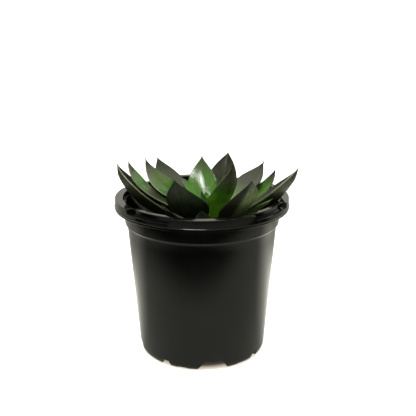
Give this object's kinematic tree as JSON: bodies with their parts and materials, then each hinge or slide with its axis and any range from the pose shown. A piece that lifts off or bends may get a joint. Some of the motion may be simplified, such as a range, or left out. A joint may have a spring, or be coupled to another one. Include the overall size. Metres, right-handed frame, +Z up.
{
  "type": "potted echeveria",
  "caption": "Rosette of thick, pointed, glossy dark green leaves on a short stem, growing in potting mix in a round black plastic nursery pot with a flat lip and a notched foot.",
  "frame": {"origin": "middle of the footprint of the whole object, on the plane that the pot stands on", "axes": "+Z up, -Y towards the viewer of the picture, +X to the viewer's right; the height is the longest extent and Y the shortest"},
  "size_m": [0.1368, 0.1314, 0.1501],
  "materials": {
    "pot": "semi-gloss black, moulded",
    "potting_mix": "crumbly, matte, dark brown",
    "stem": "matte, ringed by leaf scars",
    "leaf": "waxy and glossy, dark green to brown at the edges and tips",
    "young_leaf": "waxy and glossy, bright green",
    "dry_leaf": "dull brown, dried"
  },
  "bodies": {
    "root": {"pot": "pot", "soil": "potting_mix", "stem": "stem", "crown_bud": "young_leaf", "leaf_far_left": "leaf", "leaf_left": "leaf", "leaf_left_back": "leaf", "leaf_back_left": "leaf", "leaf_inner_left": "leaf", "leaf_front_left": "leaf", "leaf_center_back": "leaf", "leaf_back_right": "leaf", "leaf_front_center": "leaf", "leaf_right_back": "leaf", "leaf_right_small": "leaf", "leaf_far_right": "leaf", "leaf_front_right": "leaf", "leaf_low_right": "leaf", "leaf_low_front": "leaf", "leaf_low_left": "leaf", "leaf_low_back": "leaf", "leaf_low_front_right": "leaf", "leaf_low_back_left": "leaf", "leaf_low_back_right": "leaf", "leaf_dry_front_left": "dry_leaf"}
  },
  "joints": []
}
